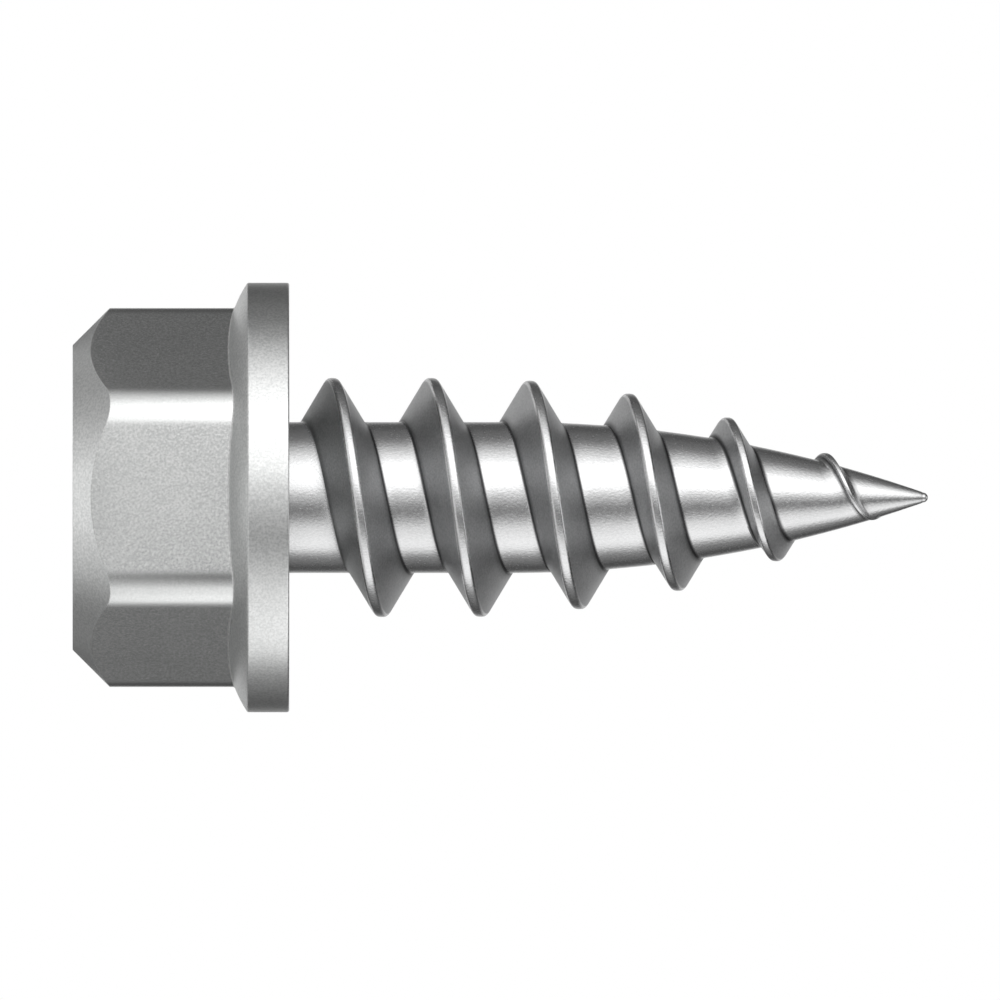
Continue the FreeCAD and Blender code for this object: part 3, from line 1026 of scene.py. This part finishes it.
def brightness_curve(tree, levels):
    curve = add(tree, "ShaderNodeFloatCurve")
    points = curve.mapping.curves[0].points
    points[0].location = (0, levels[0][1] / BRIGHTEST)
    points[1].location = (1, levels[-1][1] / BRIGHTEST)
    for degrees, level in levels[1:-1]:
        points.new((degrees + 180) / 360, level / BRIGHTEST)
    curve.mapping.update()
    return curve


print("brightness points:", len(CLOTH), len(COLLAR), len(APRON))

# %% [markdown]
# Cloth and paper are Emission shaders. Object coordinates give the angle round the screw by way of
# Arctan2, the curve gives the brightness at that angle, and the height fades the cloth.

# %% Cloth and paper that glow
CLOTH_TOP = 28.0
CLOTH_FADED = 50.0
CLOTH_TOP_SHARE = 0.35


def lit_cloth(material, levels, top_share):
    material.use_nodes = True
    tree = material.node_tree
    tree.nodes.clear()
    where = add(tree, "ShaderNodeTexCoord")
    parts = add(tree, "ShaderNodeSeparateXYZ")
    turn = add(tree, "ShaderNodeMath", operation="ARCTAN2")
    towards_top = add(tree, "ShaderNodeMath", operation="MULTIPLY")
    towards_camera = add(tree, "ShaderNodeMath", operation="MULTIPLY")
    towards_top.inputs[1].default_value = towards_camera.inputs[1].default_value = -1
    round_share = add(tree, "ShaderNodeMapRange")
    fill(round_share, {"From Min": -math.pi, "From Max": math.pi})
    curve = brightness_curve(tree, levels)
    faded = add(tree, "ShaderNodeMapRange", interpolation_type="SMOOTHSTEP")
    fill(faded, {"From Min": CLOTH_TOP * MM, "From Max": CLOTH_FADED * MM,
                 "To Min": BRIGHTEST, "To Max": BRIGHTEST * top_share})
    strength = add(tree, "ShaderNodeMath", operation="MULTIPLY")
    glow = add(tree, "ShaderNodeEmission")
    leave = add(tree, "ShaderNodeOutputMaterial")
    join(tree,
         (where.outputs["Object"], parts.inputs[0]), (parts.outputs["X"], towards_top.inputs[0]),
         (parts.outputs["Y"], towards_camera.inputs[0]),
         (towards_top.outputs[0], turn.inputs[0]), (towards_camera.outputs[0], turn.inputs[1]),
         (turn.outputs[0], round_share.inputs["Value"]),
         (round_share.outputs[0], curve.inputs["Value"]),
         (curve.outputs[0], strength.inputs[0]),
         (parts.outputs["Z"], faded.inputs["Value"]), (faded.outputs[0], strength.inputs[1]),
         (strength.outputs[0], glow.inputs["Strength"]),
         (glow.outputs[0], leave.inputs["Surface"]))


lit_cloth(cloth, CLOTH, CLOTH_TOP_SHARE)
lit_cloth(collar_paper, COLLAR, 1.0)
lit_cloth(apron_paper, APRON, 1.0)
print("the cloth fades from %.0f to %.0f mm" % (CLOTH_TOP, CLOTH_FADED))

# %% [markdown]
# The floor lies under the head's top face, on which the screw stands. In the photograph's view it
# is seen edge on, so it only shows from other sides. It is plain pale paint without a glow, so that
# it keeps the screw's shadow. It lies a hundredth of a millimetre lower than the head's face, since
# two faces in one plane would flicker.

# %% Floor
FLOOR_HALF = 250.0
FLOOR_HEIGHT = -HEAD_HEIGHT - FLOOR_GAP
PALE_PAINT = {"Base Color": (0.8, 0.8, 0.8, 1), "Roughness": 0.9}

floor_paint = bpy.data.materials.new("floor_paint")
floor_paint.use_nodes = True
fill(floor_paint.node_tree.nodes["Principled BSDF"], PALE_PAINT)
corners = [Vector((x * FLOOR_HALF, y * FLOOR_HALF, FLOOR_HEIGHT)) * MM
           for x, y in ((-1, -1), (1, -1), (1, 1), (-1, 1))]
stage_mesh("floor", corners, [(0, 1, 2, 3)], floor_paint)
print("floor: %.0f mm wide at z = %.2f mm" % (2 * FLOOR_HALF, FLOOR_HEIGHT))

# %% [markdown]
# The background is the world itself. Light Path tells what kind of ray has left the scene. Rays
# from the camera, from gloss and through glass see a strength of 1, which is white. The light that
# falls on the object from there is only 0.3, so a white background doesn't wash out the metal.
# One soft lamp in front of the screw, towards the top of the picture, gives the light a direction.
# The metal doesn't mirror it, because the ring already shows where the bright cloth is.

# %% World and lamp
AIR_LIGHT = 0.3
LAMP_SIDE = 80.0
LAMP_WATTS = 0.3
LAMP_PLACE = (-55.0, -118.0, 75.0)

world = bpy.data.worlds.new("studio_air")
bpy.context.scene.world = world
world.use_nodes = True
air = world.node_tree
ray = add(air, "ShaderNodeLightPath")
camera_or_gloss = add(air, "ShaderNodeMath", operation="MAXIMUM")
seen = add(air, "ShaderNodeMath", operation="MAXIMUM")
brightness = add(air, "ShaderNodeMapRange")
fill(brightness, {"To Min": AIR_LIGHT})
background = air.nodes["Background"]
fill(background, {"Color": (1, 1, 1, 1)})
join(air,
     (ray.outputs["Is Camera Ray"], camera_or_gloss.inputs[0]),
     (ray.outputs["Is Glossy Ray"], camera_or_gloss.inputs[1]),
     (camera_or_gloss.outputs[0], seen.inputs[0]),
     (ray.outputs["Is Transmission Ray"], seen.inputs[1]),
     (seen.outputs[0], brightness.inputs["Value"]),
     (brightness.outputs[0], background.inputs["Strength"]))

lamp_data = bpy.data.lights.new("softbox", "AREA")
lamp_data.size = LAMP_SIDE * MM
lamp_data.energy = LAMP_WATTS
lamp = bpy.data.objects.new("softbox", lamp_data)
lamp.location = Vector(LAMP_PLACE) * MM
lamp.rotation_euler = Vector(LAMP_PLACE).to_track_quat("Z", "Y").to_euler()
lamp.visible_glossy = False
bpy.context.scene.collection.objects.link(lamp)
print("air light %.1f, lamp %.0f mm from the screw" % (AIR_LIGHT, Vector(LAMP_PLACE).length))

# %% [markdown]
# The smooth screw has to lie inside the solid's box. At the end the colours are shown by the
# Standard view transform, at which a colour renders about as it is written.

# %% View transform
bpy.context.scene.view_settings.view_transform = "Standard"
